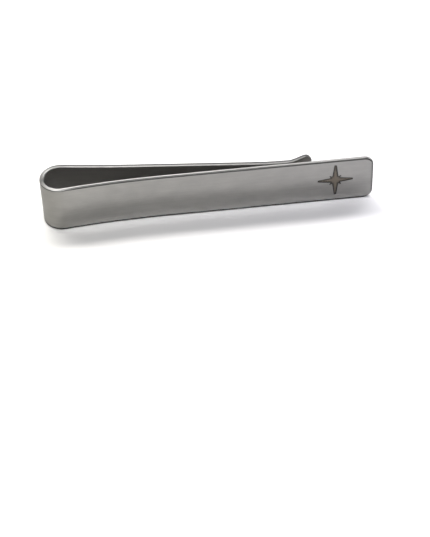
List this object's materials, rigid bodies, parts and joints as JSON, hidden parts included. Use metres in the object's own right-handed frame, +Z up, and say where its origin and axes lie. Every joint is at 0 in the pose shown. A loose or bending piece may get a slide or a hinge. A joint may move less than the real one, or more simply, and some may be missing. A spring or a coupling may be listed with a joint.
{
  "type": "tie clip",
  "caption": "Slide-on tie clip bent from a satin steel strip: flat front bar with an etched star, round spring bend, and a shorter rear arm with a flared tip.",
  "frame": {"origin": "on the surface that the clip stands on, under the middle of its length and level with the centre of its bend", "axes": "+X along the bar from the bend to the free end, +Y from the bar's front to the back of the clip, +Z up the height of the strip"},
  "size_m": [0.0542, 0.0064, 0.0085],
  "materials": {
    "satin_steel": "satin, with a fine lengthwise brushed grain and brighter rolled edges",
    "etched_oxide": "laser-etched, matt dark brown-grey oxide"
  },
  "bodies": {
    "bar": {"front_bar": "satin_steel", "star_mark": "etched_oxide", "spring_bend": "satin_steel"},
    "arm": {"clamp_arm": "satin_steel", "flared_tip": "satin_steel"}
  },
  "joints": [
    {"name": "spring_open", "type": "hinge", "parent": "bar", "child": "arm", "pos_m": [-0.0239, 0, 0.00425], "axis": [0, 0, 1], "range_deg": [0, 6], "stiffness_Nm_per_rad": 1.8, "springref_deg": -1.15, "deforming": ["spring_bend"]}
  ]
}
